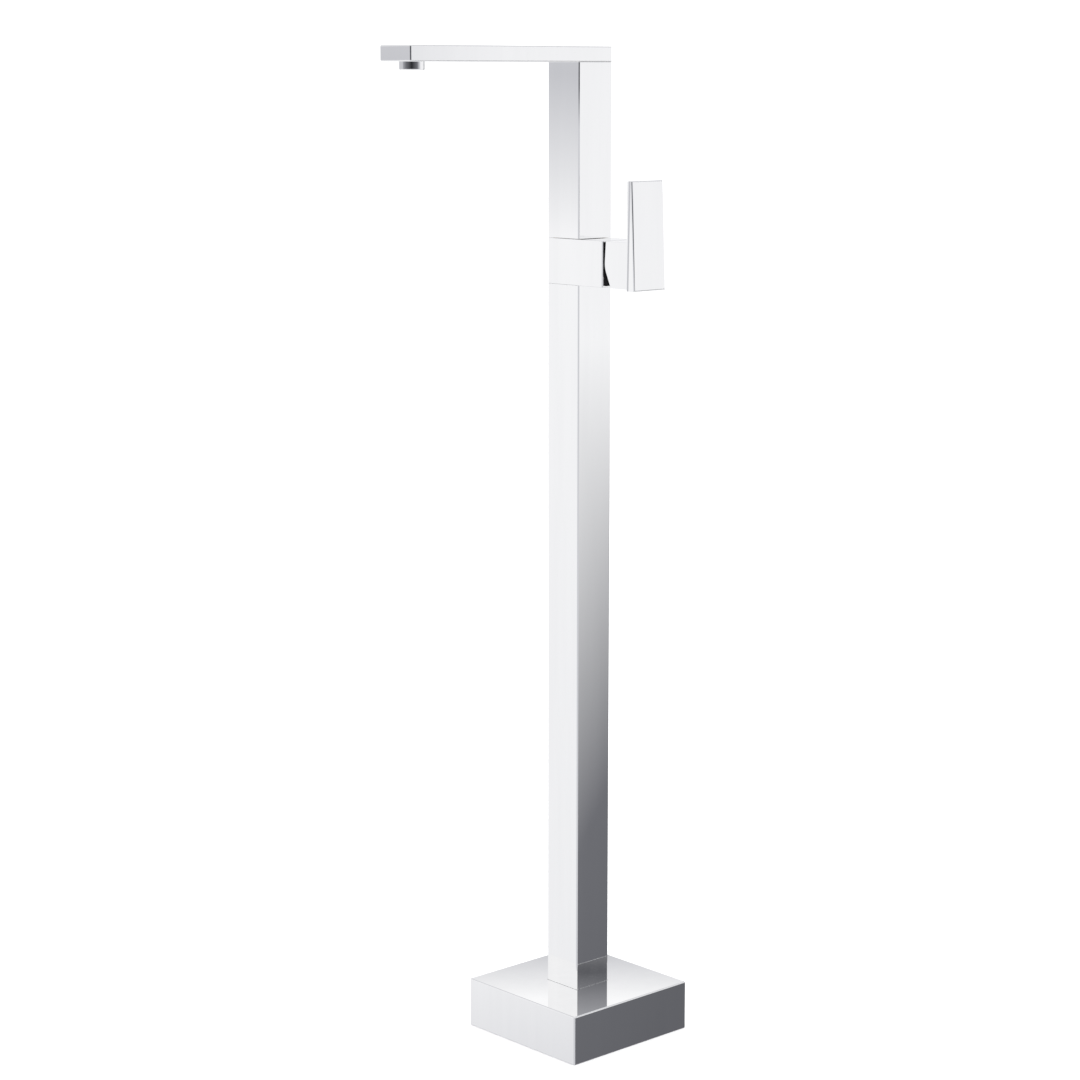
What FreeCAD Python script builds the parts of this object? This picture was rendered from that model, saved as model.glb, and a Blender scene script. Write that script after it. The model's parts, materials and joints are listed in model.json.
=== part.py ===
"""Floor standing bath filler: square column, single lever valve and flat spout arm.

The origin is the centre of the base on the floor.  +Z is up, the spout points
along -X and the lever faces -Y.  All sizes are in millimetres.
"""
import FreeCAD, Part
import math
import os
import re

import Sketcher

# lengths closer than this are the same
SAME = 0.001

SIZES = [
    # square tubes and the blocks that share their width
    ("column_width", 44, "outside width of the column, valve, lever and spout"),
    ("column_wall", 1.5, "wall of the square tubes"),
    ("edge_round", 1.1, "rounding of the outer edges"),
    ("seam_round", 0.4, "rounding of the valve's edges at its seams"),
    ("slip_clearance", 0.1, "gap round a square plug or collar"),
    # base
    ("gasket_thickness", 2, "rubber sheet under the floor flange"),
    ("flange_room", 3, "gap between the floor flange and the base cover"),
    ("flange_thickness", 10, "plate of the floor flange"),
    ("anchor_margin", 16, "floor anchor holes from the flange's edges"),
    ("anchor_radius", 5.5, "radius of the floor anchor holes"),
    ("supply_length", 64, "opening for the two supplies, along X"),
    ("supply_width", 40, "opening for the two supplies, along Y"),
    ("foot_width", 88, "side of the socket's foot"),
    ("foot_thickness", 8, "plate of the socket's foot"),
    ("socket_wall", 6, "wall of the column socket"),
    ("socket_room", 1, "gap between the socket and the ring under the cover"),
    ("bolt_spacing", 70, "between the socket bolts"),
    ("bolt_radius", 4, "radius of the socket bolts"),
    ("bolt_head_radius", 6.5, "radius of the bolt heads"),
    ("bolt_head_height", 8, "height of the bolt heads"),
    ("bolt_length", 14, "bolt length under its head"),
    ("bolt_key", 6, "hexagon in the bolt heads, across flats"),
    ("bolt_key_depth", 4, "depth of the hexagon in the bolt heads"),
    ("thread_clearance", 0.05, "radial gap round a screw or a pushed in tube"),
    ("clamp_radius", 3, "radius of the screws that clamp the column"),
    ("clamp_spacing", 24, "between two clamp screws"),
    ("clamp_height", 14, "clamp screws above the socket's foot"),
    ("clamp_stickout", 1, "clamp screws outside the socket"),
    ("base_width", 158, "side of the base cover"),
    ("base_height", 50, "height of the base cover"),
    ("base_wall", 2, "sheet of the base cover"),
    ("base_edge", 1.2, "rounding of the base cover's edges"),
    ("cover_clearance", 0.3, "gap between the cover's hole and the column"),
    ("seal_width", 6, "width of the ring under the cover's hole"),
    ("seal_thickness", 3, "thickness of the ring under the cover's hole"),
    ("seal_clearance", 0.1, "gap between that ring and the column"),
    # supply pipes
    ("pipe_radius", 5, "outside radius of the supply pipes"),
    ("pipe_wall", 1, "wall of the supply pipes"),
    ("pipe_spacing", 22, "between the pipes at the valve"),
    ("inlet_spacing", 30, "between the pipes at the floor"),
    ("bend_start", 110, "height where the pipes start to close in"),
    ("bend_height", 70, "height over which they close in"),
    ("pipe_entry", 12, "pipe ends above the valve's underside"),
    ("inlet_lift", 3, "end of the inlet tails above the floor"),
    ("inlet_radius", 10.48, "radius of the half inch pipe thread"),
    ("inlet_length", 12, "length of that thread"),
    ("inlet_bore", 6.5, "bore of the inlet tails"),
    ("inlet_head_radius", 11.5, "collar of the inlet tails"),
    ("inlet_head_height", 3.5, "height of that collar"),
    ("pipe_joint", 7, "pipe inside the inlet tail"),
    ("spacer_thickness", 12, "plastic spacers between pipes and column"),
    ("spacer_first", 300, "height of the lower spacer"),
    ("spacer_pitch", 300, "between the two spacers"),
    ("spacer_clearance", 0.15, "gap round the spacers"),
    ("ring_section", 0.9, "half the section of the pipe seals"),
    ("ring_clearance", 0.05, "gap round a seal ring in its groove"),
    ("ring_depth", 10, "pipe seals below the valve's underside"),
    # valve body
    ("valve_bottom", 770, "height of the valve's underside"),
    ("valve_height", 45, "height of the valve body"),
    ("valve_reach", 55.5, "valve's front face from the column's axis"),
    ("spigot_length", 20, "valve's plug inside the column"),
    ("lock_radius", 2.5, "radius of the screws in the rear"),
    ("lock_spacing", 16, "between the two screws in the column's rear"),
    ("lock_drop", 8, "those screws below the valve's underside"),
    ("lock_length", 8, "length of those screws"),
    ("waterway_radius", 3.2, "radius of the cartridge ports"),
    ("inlet_port_side", 6.5, "inlet ports beside the cartridge's axis"),
    ("inlet_port_rise", 5.5, "inlet ports above the cartridge's axis"),
    ("outlet_port_drop", 6.5, "outlet port below the cartridge's axis"),
    ("outlet_radius", 8.5, "thread radius of the outlet nipple"),
    ("outlet_thread", 12, "length of that thread"),
    # lever cartridge, with depths counted inwards from the valve's front face
    ("cartridge_radius", 17.5, "outside radius of the cartridge"),
    ("bore_clearance", 0.1, "gap between the cartridge and its bore"),
    ("bore_depth", 31.4, "depth of the cartridge's bore"),
    ("cartridge_base_height", 4.5, "height of the cartridge's base"),
    ("cartridge_wall", 2.1, "wall of the cartridge's housing"),
    ("shoulder_depth", 8.4, "depth of the housing's shoulder"),
    ("shoulder_height", 2.2, "height of that shoulder"),
    ("neck_radius", 13, "outside radius of the housing's neck"),
    ("neck_length", 11, "length of the neck above the shoulder"),
    ("disc_radius", 10.8, "radius of the sliding disc"),
    ("disc_thickness", 4, "thickness of each ceramic disc"),
    ("disc_clearance", 0.05, "water film between the discs"),
    ("driver_height", 5.4, "height of the sliding disc's driver"),
    ("driver_flat", 9.1, "flats of the driver from the axis"),
    ("moving_clearance", 0.3, "gap between pieces that move past each other"),
    ("carrier_radius", 11.7, "radius of the lever carrier's neck"),
    ("carrier_flange", 15.1, "radius of the lever carrier's flange"),
    ("carrier_flange_height", 2.2, "height of that flange"),
    ("carrier_lug", 4.8, "length of the lugs that guide the driver"),
    ("carrier_lug_side", 13, "outer side of those lugs from the axis"),
    ("carrier_lug_width", 14, "width of those lugs"),
    ("slot_half", 8.2, "half length of the slot that the lever swings in"),
    ("pivot_depth", 5, "depth of the lever's pivot"),
    ("pin_radius", 1.6, "radius of the lever's pivot pin"),
    ("pin_length", 20, "length of that pin"),
    ("stem_width", 8, "width and outer height of the lever's stem"),
    ("stem_clearance", 0.1, "gap between the stem and the lever's socket"),
    ("stem_reach", 26, "stem in front of the valve"),
    ("heel_radius", 3, "radius of the stem's round heel"),
    ("heel_arm", 9.4, "heel's centre behind the pivot"),
    ("heel_clearance", 0.2, "gap between the heel and the driver"),
    ("heel_waist", 2.2, "half height of the stem above its heel"),
    ("nut_recess", 0.5, "retaining nut behind the valve's front face"),
    ("nut_key_radius", 15.6, "key slots of the nut, from the axis"),
    ("nut_key_width", 4, "width of the key slots"),
    ("nut_key_depth", 3, "depth of the key slots"),
    ("cover_radius", 16, "spherical radius of the cartridge cover"),
    ("cover_opening", 11.2, "radius of the opening in that cover"),
    ("cover_lip", 3, "cover's lip in front of the valve's face"),
    # lever
    ("lever_gap", 2.9, "least gap between valve and lever"),
    ("lever_gap_top", 4.6, "gap at the lever's upper edge"),
    ("relief_drop", 2.8, "start of the lever's relief below the axis"),
    ("relief_depth", 8.7, "depth of the relief at the lower edge"),
    ("relief_round", 24, "rounding where the relief starts"),
    ("hub_length", 33.6, "back of the lever's plate from the valve"),
    ("plate_height", 105, "height of the lever's plate"),
    ("plate_drop", 1.8, "plate's lower edge below the hub"),
    ("plate_top", 5.1, "thickness of the plate at its top"),
    ("plate_bottom", 9.3, "thickness of the plate at its bottom"),
    ("ledge_top", 2.2, "thickness of the plate's wide rear at its top"),
    ("ledge_bottom", 0.2, "thickness of the plate's wide rear at its bottom"),
    ("ledge_width", 1, "step from the wide rear to the raised face"),
    ("cavity_clearance", 1, "gap between the cover and the lever's hollow"),
    ("grub_radius", 2.5, "radius of the lever's grub screw"),
    ("grub_length", 12, "length of that screw"),
    ("grub_reach", 19, "grub screw in front of the valve"),
    ("plug_radius", 3.5, "radius of the plug under the lever"),
    ("plug_depth", 3, "thickness of that plug"),
    # spout
    ("riser_length", 170, "riser between the valve and the arm"),
    ("seam_gap", 0.35, "seam under the riser"),
    ("swivel_radius", 10, "radius of the nipple in the riser"),
    ("swivel_clearance", 0.05, "running fit of that nipple"),
    ("swivel_length", 30, "length of the nipple in the riser"),
    ("nipple_bore", 6, "bore of the nipple"),
    ("nipple_ring_section", 0.8, "half the section of the nipple's seals"),
    ("nipple_ring_low", 6, "height of the lower seal"),
    ("nipple_ring_high", 25, "height of the upper seal"),
    ("socket_top", 36, "height of the riser's socket"),
    ("stop_height", 15.5, "height of the nipple's stop groove"),
    ("stop_groove_radius", 8.5, "radius at the bottom of that groove"),
    ("stop_tip_radius", 2, "tip of the stop screw"),
    ("stop_swing", 212, "angle of the groove round the nipple"),
    ("washer_radius", 16, "radius of the glide washer"),
    ("washer_depth", 1.2, "recess for the washer"),
    ("washer_rise", 0.3, "washer above the valve"),
    ("arm_reach", 233, "tip of the arm from the column's axis"),
    ("arm_thickness", 15, "height of the arm"),
    ("arm_wall", 2, "floor and ends of the arm"),
    ("aerator_setback", 20, "aerator's centre from the tip"),
    ("aerator_radius", 12, "radius of the aerator's collar"),
    ("aerator_drop", 7.5, "collar below the arm"),
    ("aerator_taper", 0.4, "narrowing of the collar"),
    ("aerator_thread", 10, "thread radius of the aerator"),
    ("aerator_entry", 6, "thread inside the arm"),
    ("aerator_bore", 8.5, "bore of the aerator"),
    ("boss_wall", 3, "wall of the aerator's boss"),
    ("insert_recess", 1.5, "insert above the collar's lower edge"),
    ("insert_height", 8, "height of the insert"),
    ("insert_hole", 0.9, "radius of the insert's holes"),
    ("insert_circle", 5.6, "radius of the circle of holes"),
    ("insert_count", 6, "holes in that circle"),
    ("insert_washer", 1.5, "thickness of the washer above the insert"),
]

DERIVED = {
    "half": "column_width / 2",
    "flange_width": "(base_width - 2 * base_wall - 2 * flange_room)",
    "anchor_spacing": "(base_width - 2 * base_wall - 2 * flange_room - 2 * anchor_margin)",
    "socket_height": "(base_height - base_wall - seal_thickness - socket_room - foot_top)",
    "inner_half": "(column_width / 2 - column_wall)",
    "plug_half": "(column_width / 2 - column_wall - slip_clearance)",
    "flange_top": "(gasket_thickness + flange_thickness)",
    "foot_top": "(gasket_thickness + flange_thickness + foot_thickness)",
    "clamp_level": "(gasket_thickness + flange_thickness + foot_thickness + clamp_height)",
    "tail_top": "(inlet_lift + inlet_length + inlet_head_height)",
    "pipe_hole": "(pipe_radius + thread_clearance)",
    "half_valve": "valve_height / 2",
    "valve_middle": "(valve_bottom + valve_height / 2)",
    "valve_top": "(valve_bottom + valve_height)",
    "chamber_radius": "(cartridge_radius - cartridge_wall)",
    "base_depth": "(bore_depth - cartridge_base_height)",
    "slide_depth": "(bore_depth - cartridge_base_height - disc_thickness - disc_clearance)",
    "driver_depth": "(bore_depth - cartridge_base_height - 2 * disc_thickness - disc_clearance)",
    "flange_depth": "(shoulder_depth + shoulder_height + moving_clearance)",
    "heel_depth": "(pivot_depth + heel_arm)",
    "collar_half": "(socket_wall + slip_clearance + column_width / 2)",
    "plate_low": "(-valve_height / 2 - plate_drop)",
    "aerator_place": "(aerator_setback - arm_reach)",
}

doc = FreeCAD.newDocument("bath_filler")
sheet = doc.addObject("Spreadsheet::Sheet", "Sizes")
for row, (name, number, meaning) in enumerate(SIZES, start=1):
    sheet.set(f"A{row}", meaning)
    sheet.set(f"B{row}", str(number))
    sheet.setAlias(f"B{row}", name)
doc.recompute()
NAMES = {name for name, number, meaning in SIZES}
SUB_PARTS = []


# ---------------------------------------------------------------- formulas

def formula(text):
    """The expression for text, with derived sizes spelled out and cells named."""
    def spell(word):
        if word[0] in DERIVED:
            return "(" + formula(DERIVED[word[0]]) + ")"
        if word[0] in NAMES:
            return "Sizes." + word[0]
        return word[0]
    return re.sub(r"[a-z_]+", spell, text)


def size(text):
    """The number that a formula gives."""
    return float(sheet.evalExpression(formula(text)))


def bind(item, target, text):
    item.setExpression(target, formula(text))


# ------------------------------------------------------- bodies and sketches

def new_body(label, x="0", y="0", z="0"):
    """An empty body whose own origin is at x, y, z."""
    body = doc.addObject("PartDesign::Body", "Body_" + label)
    body.Label = label
    bind(body, "Placement.Base.x", x)
    bind(body, "Placement.Base.y", y)
    bind(body, "Placement.Base.z", z)
    SUB_PARTS.append(body)
    return body


def new_sketch(body, plane, out="0", across="0", up="0"):
    """A sketch on an origin plane, moved along its normal and in its plane.

    The normals are +Z for XY_Plane, -Y for XZ_Plane and +X for YZ_Plane.
    """
    sketch = body.newObject("Sketcher::SketchObject", body.Label + "_sketch")
    origin = [item for item in body.Origin.OriginFeatures if item.Role == plane][0]
    sketch.AttachmentSupport = [(origin, "")]
    sketch.MapMode = "FlatFace"
    bind(sketch, "AttachmentOffset.Base.x", across)
    bind(sketch, "AttachmentOffset.Base.y", up)
    bind(sketch, "AttachmentOffset.Base.z", out)
    return sketch


def measure(sketch, kind, text, *places):
    """A driving dimension bound to a formula."""
    index = sketch.addConstraint(Sketcher.Constraint(kind, *places, size(text)))
    bind(sketch, f"Constraints[{index}]", text)


def pin(sketch, item, end, across=None, up=None):
    """Place one end or centre of a sketch item from the sketch's origin."""
    if across is not None:
        measure(sketch, "DistanceX", across, -1, 1, item, end)
    if up is not None:
        measure(sketch, "DistanceY", up, -1, 1, item, end)


def outline(sketch, corners):
    """A closed loop of lines through corners, each an (across, up) pair."""
    points = [FreeCAD.Vector(size(across), size(up), 0) for across, up in corners]
    first = sketch.GeometryCount
    for start, end in zip(points, points[1:] + points[:1]):
        sketch.addGeometry(Part.LineSegment(start, end), False)
    for number, (across, up) in enumerate(corners):
        following = first + (number + 1) % len(corners)
        sketch.addConstraint(Sketcher.Constraint("Coincident", first + number, 2, following, 1))
        pin(sketch, first + number, 1, across, up)


def rectangle(sketch, left, right, low, high):
    outline(sketch, [(left, low), (right, low), (right, high), (left, high)])


def square(sketch, half_side):
    rectangle(sketch, "-" + half_side, half_side, "-" + half_side, half_side)


def circle(sketch, across, up, radius):
    centre = FreeCAD.Vector(size(across), size(up), 0)
    item = sketch.addGeometry(Part.Circle(centre, FreeCAD.Vector(0, 0, 1), size(radius)), False)
    pin(sketch, item, 3, across, up)
    measure(sketch, "Radius", radius, item)


def four_circles(sketch, spacing, radius):
    for side in ("-", ""):
        for end in ("-", ""):
            circle(sketch, f"{side}{spacing} / 2", f"{end}{spacing} / 2", radius)


def arc(sketch, across, up, radius, start, end):
    """An arc about a pinned centre, from angle start to angle end in radians."""
    centre = FreeCAD.Vector(size(across), size(up), 0)
    ring = Part.Circle(centre, FreeCAD.Vector(0, 0, 1), size(radius))
    item = sketch.addGeometry(Part.ArcOfCircle(ring, start, end), False)
    pin(sketch, item, 3, across, up)
    measure(sketch, "Radius", radius, item)
    return item


# ------------------------------------------------------------------ features

def add_feature(body, kind, sketch):
    feature = body.newObject(kind, body.Label + "_" + kind.split("::")[1].lower())
    feature.Profile = sketch
    return feature


def pad(body, sketch, length, both_sides=False):
    feature = add_feature(body, "PartDesign::Pad", sketch)
    feature.SideType = "Symmetric" if both_sides else "One side"
    bind(feature, "Length", length)
    doc.recompute()
    return feature


def checked_cut(body, feature, before):
    """Stop if a cut took nothing away."""
    doc.recompute()
    if not feature.Shape.Volume < before:
        raise ValueError(f"{body.Label}: {feature.Name} cuts nothing")
    return feature


def pocket(body, sketch, depth, along_normal=False, both_sides=False):
    """Cut against the sketch's normal, or along it."""
    before = body.Shape.Volume
    feature = add_feature(body, "PartDesign::Pocket", sketch)
    feature.SideType = "Symmetric" if both_sides else "One side"
    feature.Reversed = along_normal
    bind(feature, "Length", depth)
    return checked_cut(body, feature, before)


def turn(body, sketch, axis):
    """Revolve a half profile about the sketch's own axis."""
    feature = add_feature(body, "PartDesign::Revolution", sketch)
    feature.ReferenceAxis = (sketch, [axis])
    feature.Angle = 360
    doc.recompute()
    return feature


def groove(body, sketch, axis, angle=None):
    before = body.Shape.Volume
    feature = add_feature(body, "PartDesign::Groove", sketch)
    feature.ReferenceAxis = (sketch, [axis])
    feature.Angle = 360
    if angle is not None:
        feature.Midplane = True
        bind(feature, "Angle", angle)
    return checked_cut(body, feature, before)


def round_edges(body, feature, radius, chosen):
    """Round the edges of a feature that the function chosen picks."""
    edges = enumerate(feature.Shape.Edges, start=1)
    names = [f"Edge{number}" for number, edge in edges if chosen(edge.BoundBox)]
    fillet = body.newObject("PartDesign::Fillet", body.Label + "_fillet")
    fillet.Base = (feature, names)
    bind(fillet, "Radius", radius)
    doc.recompute()
    return fillet


def every_edge(box):
    return True


def upright(box):
    return box.XLength < SAME and box.YLength < SAME


def lying(box):
    return box.ZLength < SAME


# ---------------------------------------------------------------------- base

def floor_gasket():
    body = new_body("floor_gasket")
    sketch = new_sketch(body, "XY_Plane")
    square(sketch, "flange_width / 2")
    supply_outline(sketch)
    four_circles(sketch, "anchor_spacing", "anchor_radius")
    pad(body, sketch, "gasket_thickness")


def supply_outline(sketch):
    rectangle(sketch, "-supply_length / 2", "supply_length / 2", "-supply_width / 2", "supply_width / 2")


def floor_flange():
    body = new_body("floor_flange", z="gasket_thickness")
    sketch = new_sketch(body, "XY_Plane")
    square(sketch, "flange_width / 2")
    supply_outline(sketch)
    four_circles(sketch, "anchor_spacing", "anchor_radius")
    pad(body, sketch, "flange_thickness")
    holes = new_sketch(body, "XY_Plane", out="flange_thickness")
    four_circles(holes, "bolt_spacing", "bolt_radius + thread_clearance")
    pocket(body, holes, "bolt_length - foot_thickness + thread_clearance")


def column_socket():
    """Square collar on a foot plate, open in the middle for the supplies."""
    body = new_body("column_socket", z="flange_top")
    foot = new_sketch(body, "XY_Plane")
    square(foot, "foot_width / 2")
    supply_outline(foot)
    four_circles(foot, "bolt_spacing", "bolt_radius + thread_clearance")
    pad(body, foot, "foot_thickness")
    collar = new_sketch(body, "XY_Plane", out="foot_thickness")
    square(collar, "collar_half")
    square(collar, "(column_width / 2 + slip_clearance)")
    pad(body, collar, "socket_height")
    holes = new_sketch(body, "YZ_Plane")
    for side in ("-", ""):
        circle(holes, f"{side}clamp_spacing / 2", "foot_thickness + clamp_height",
               "clamp_radius + thread_clearance")
    pocket(body, holes, "foot_width", both_sides=True)


def socket_bolts():
    body = new_body("socket_bolts", z="foot_top")
    heads = new_sketch(body, "XY_Plane")
    four_circles(heads, "bolt_spacing", "bolt_head_radius")
    pad(body, heads, "bolt_head_height")
    shanks = new_sketch(body, "XY_Plane", out="-bolt_length")
    four_circles(shanks, "bolt_spacing", "bolt_radius")
    pad(body, shanks, "bolt_length")
    keys = new_sketch(body, "XY_Plane", out="bolt_head_height")
    for side in ("-", ""):
        for end in ("-", ""):
            hexagon(keys, f"{side}bolt_spacing / 2", f"{end}bolt_spacing / 2", "bolt_key / 2")
    pocket(body, keys, "bolt_key_depth")


def hexagon(sketch, across, up, flat):
    """A hexagon whose flats lie at the distance flat from its centre."""
    corner = f"{flat} * 2 / sqrt(3)"
    outline(sketch, [
        (f"{across} + {corner}", up),
        (f"{across} + {corner} / 2", f"{up} + {flat}"),
        (f"{across} - {corner} / 2", f"{up} + {flat}"),
        (f"{across} - {corner}", up),
        (f"{across} - {corner} / 2", f"{up} - {flat}"),
        (f"{across} + {corner} / 2", f"{up} - {flat}"),
    ])


def column_clamp_screws():
    body = new_body("column_clamp_screws", z="clamp_level")
    tip, head = "column_width / 2", "collar_half + clamp_stickout"
    for facing in ("-", ""):
        ends = new_sketch(body, "YZ_Plane", out=f"{facing}({head} + {tip}) / 2")
        for side in ("-", ""):
            circle(ends, f"{side}clamp_spacing / 2", "0", "clamp_radius")
        pad(body, ends, f"{head} - {tip}", both_sides=True)


def column_tube():
    body = new_body("column_tube", z="foot_top")
    sketch = new_sketch(body, "XY_Plane")
    square(sketch, "half")
    tube = pad(body, sketch, "valve_bottom - foot_top")
    round_edges(body, tube, "edge_round", upright)
    bore = new_sketch(body, "XY_Plane")
    square(bore, "inner_half")
    pocket(body, bore, "valve_bottom - foot_top", along_normal=True)
    holes = new_sketch(body, "XZ_Plane", out="-inner_half")
    rear_screws(holes, "valve_bottom - foot_top", "lock_radius + thread_clearance")
    pocket(body, holes, "2 * column_wall")


def rear_screws(sketch, valve_underside, radius):
    for side in ("-", ""):
        circle(sketch, f"{side}lock_spacing / 2", f"{valve_underside} - lock_drop", radius)


def supply_pipe(label, side):
    """Pipe that closes in from the inlet to the valve over two equal arcs."""
    body = new_body(label, z="inlet_lift + inlet_length + inlet_head_height - pipe_joint")
    low, high = f"{side}inlet_spacing / 2", f"{side}pipe_spacing / 2"
    start = "bend_start - tail_top + pipe_joint"
    finish = start + " + bend_height"
    top = "valve_bottom + pipe_entry - tail_top + pipe_joint"
    route = new_sketch(body, "XZ_Plane")
    half_step = (size(high) - size(low)) / 2
    rise = size("bend_height") / 2
    bend = (half_step ** 2 + rise ** 2) / (2 * half_step)
    corners = [(size(low), 0), (size(low), size(start)), (size(low) + half_step, size(start) + rise),
               (size(high), size(finish)), (size(high), size(top))]
    ends = [FreeCAD.Vector(across, up, 0) for across, up in corners]
    turn_angle = FreeCAD.Vector(half_step, rise, 0)
    reach = turn_angle.Length / 2
    bulge = abs(bend) - (bend ** 2 - reach ** 2) ** 0.5
    outward = FreeCAD.Vector(-rise, half_step, 0).normalize() * bulge * (1 if half_step > 0 else -1)
    route.addGeometry(Part.LineSegment(ends[0], ends[1]), False)
    route.addGeometry(Part.Arc(ends[1], (ends[1] + ends[2]) * 0.5 + outward, ends[2]), False)
    route.addGeometry(Part.Arc(ends[2], (ends[2] + ends[3]) * 0.5 - outward, ends[3]), False)
    route.addGeometry(Part.LineSegment(ends[3], ends[4]), False)
    first_arc_ends = (1, 2) if half_step < 0 else (2, 1)
    second_arc_ends = (2, 1) if half_step < 0 else (1, 2)
    route.addConstraint(Sketcher.Constraint("Tangent", 0, 2, 1, first_arc_ends[0]))
    route.addConstraint(Sketcher.Constraint("Tangent", 1, first_arc_ends[1], 2, second_arc_ends[0]))
    route.addConstraint(Sketcher.Constraint("Tangent", 2, second_arc_ends[1], 3, 1))
    route.addConstraint(Sketcher.Constraint("Vertical", 0))
    route.addConstraint(Sketcher.Constraint("Vertical", 3))
    pin(route, 0, 1, low, "0")
    pin(route, 0, 2, None, start)
    pin(route, 3, 1, high, finish)
    pin(route, 3, 2, None, top)
    ring = new_sketch(body, "XY_Plane")
    circle(ring, low, "0", "pipe_radius")
    circle(ring, low, "0", "pipe_radius - pipe_wall")
    sweep = add_feature(body, "PartDesign::AdditivePipe", ring)
    sweep.Spine = (route, [f"Edge{number}" for number in range(1, 5)])
    doc.recompute()


def inlet_tail(label, side):
    body = new_body(label, x=f"{side}inlet_spacing / 2", z="inlet_lift")
    sketch = new_sketch(body, "XZ_Plane")
    outline(sketch, [
        ("inlet_bore", "0"),
        ("inlet_radius", "0"),
        ("inlet_radius", "inlet_length"),
        ("inlet_head_radius", "inlet_length"),
        ("inlet_head_radius", "inlet_length + inlet_head_height"),
        ("pipe_hole", "inlet_length + inlet_head_height"),
        ("pipe_hole", "inlet_length + inlet_head_height - pipe_joint"),
        ("inlet_bore", "inlet_length + inlet_head_height - pipe_joint"),
    ])
    turn(body, sketch, "V_Axis")


def pipe_spacers():
    body = new_body("pipe_spacers", z="spacer_first")
    sketch = new_sketch(body, "XY_Plane")
    square(sketch, "(inner_half - spacer_clearance)")
    for side in ("-", ""):
        circle(sketch, f"{side}pipe_spacing / 2", "0", "pipe_radius + spacer_clearance")
    block = pad(body, sketch, "spacer_thickness")
    copies = body.newObject("PartDesign::LinearPattern", "pipe_spacers_pattern")
    copies.Originals = [block]
    copies.Direction = (sketch, ["N_Axis"])
    bind(copies, "Length", "spacer_pitch")
    copies.Occurrences = 2
    body.Tip = copies
    doc.recompute()


def base_cover():
    """Deep drawn cover, open underneath, that drops over the flange."""
    body = new_body("base_cover")
    sketch = new_sketch(body, "XY_Plane")
    square(sketch, "base_width / 2")
    block = pad(body, sketch, "base_height")
    round_edges(body, block, "base_edge", lambda box: upright(box) or box.ZMin > size("base_height") / 2)
    hollow = new_sketch(body, "XY_Plane")
    square(hollow, "(base_width / 2 - base_wall)")
    pocket(body, hollow, "base_height - base_wall", along_normal=True)
    hole = new_sketch(body, "XY_Plane", out="base_height")
    square(hole, "(column_width / 2 + cover_clearance)")
    pocket(body, hole, "2 * base_wall")


def cover_seal():
    body = new_body("cover_seal", z="base_height - base_wall - seal_thickness")
    sketch = new_sketch(body, "XY_Plane")
    square(sketch, "(column_width / 2 + seal_clearance)")
    square(sketch, "(column_width / 2 + seal_clearance + seal_width)")
    pad(body, sketch, "seal_thickness")


# --------------------------------------------------------------------- valve

def valve_body():
    """Brass block with its plug, cartridge bore, waterways and washer recess."""
    body = new_body("valve_body", z="valve_middle")
    section = new_sketch(body, "XZ_Plane", out="-half")
    rectangle(section, "-half", "half", "-half_valve", "half_valve")
    block = pad(body, section, "valve_reach + half")
    sides = round_edges(body, block, "edge_round", upright)
    round_edges(body, sides, "seam_round", lying)
    plug = new_sketch(body, "XY_Plane", out="-half_valve - spigot_length")
    square(plug, "plug_half")
    pad(body, plug, "spigot_length + seam_round")
    bore = new_sketch(body, "XZ_Plane", out="valve_reach")
    circle(bore, "0", "0", "cartridge_radius + bore_clearance")
    pocket(body, bore, "bore_depth")
    ports = new_sketch(body, "XZ_Plane", out="valve_reach - bore_depth")
    port_circles(ports, "waterway_radius")
    pocket(body, ports, "valve_reach - bore_depth + waterway_radius")
    inlets = new_sketch(body, "XY_Plane", out="-half_valve - spigot_length")
    pair_of_circles(inlets, "pipe_spacing", "pipe_hole")
    pocket(body, inlets, "spigot_length + half_valve + inlet_port_rise", along_normal=True)
    for side in ("-", ""):
        seat = new_sketch(body, "XZ_Plane", across=f"{side}pipe_spacing / 2")
        ring_seat(seat, "pipe_radius", "-half_valve - ring_depth", "ring_section")
        groove(body, seat, "V_Axis")
    outlet = new_sketch(body, "XY_Plane", out="half_valve")
    circle(outlet, "0", "0", "outlet_radius + thread_clearance")
    pocket(body, outlet, "outlet_thread")
    drop = new_sketch(body, "XY_Plane", out="half_valve")
    circle(drop, "0", "0", "waterway_radius")
    pocket(body, drop, "half_valve + outlet_port_drop")
    recess = new_sketch(body, "XY_Plane", out="half_valve")
    circle(recess, "0", "0", "washer_radius + slip_clearance")
    pocket(body, recess, "washer_depth")
    shoulder = new_sketch(body, "XY_Plane", out="half_valve - washer_depth")
    circle(shoulder, "0", "0", "swivel_radius")
    circle(shoulder, "0", "0", "outlet_radius + thread_clearance")
    pad(body, shoulder, "washer_depth")
    screws = new_sketch(body, "XZ_Plane", out="-plug_half")
    rear_screws(screws, "-half_valve", "lock_radius + thread_clearance")
    pocket(body, screws, "lock_length", along_normal=True)


def port_circles(sketch, radius):
    circle(sketch, "-inlet_port_side", "inlet_port_rise", radius)
    circle(sketch, "inlet_port_side", "inlet_port_rise", radius)
    circle(sketch, "0", "-outlet_port_drop", radius)


def pair_of_circles(sketch, spacing, radius):
    for side in ("-", ""):
        circle(sketch, f"{side}{spacing} / 2", "0", radius)


def ring_seat(sketch, inside, level, section):
    """Square groove outside the radius inside, for a ring of that section."""
    rectangle(sketch, inside, f"{inside} + 2 * {section} + 2 * ring_clearance",
              f"{level} - {section} - ring_clearance", f"{level} + {section} + ring_clearance")


def seal_rings(label, centres, inside, section, place):
    """Rings of one size, each centred at an (across, up) pair in its own frame."""
    body = new_body(label, z=place)
    for across, up in centres:
        sketch = new_sketch(body, "XZ_Plane", across=across)
        rectangle(sketch, f"{inside} + ring_clearance", f"{inside} + 2 * {section} + ring_clearance",
                  f"{up} - {section}", f"{up} + {section}")
        turn(body, sketch, "V_Axis")


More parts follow.
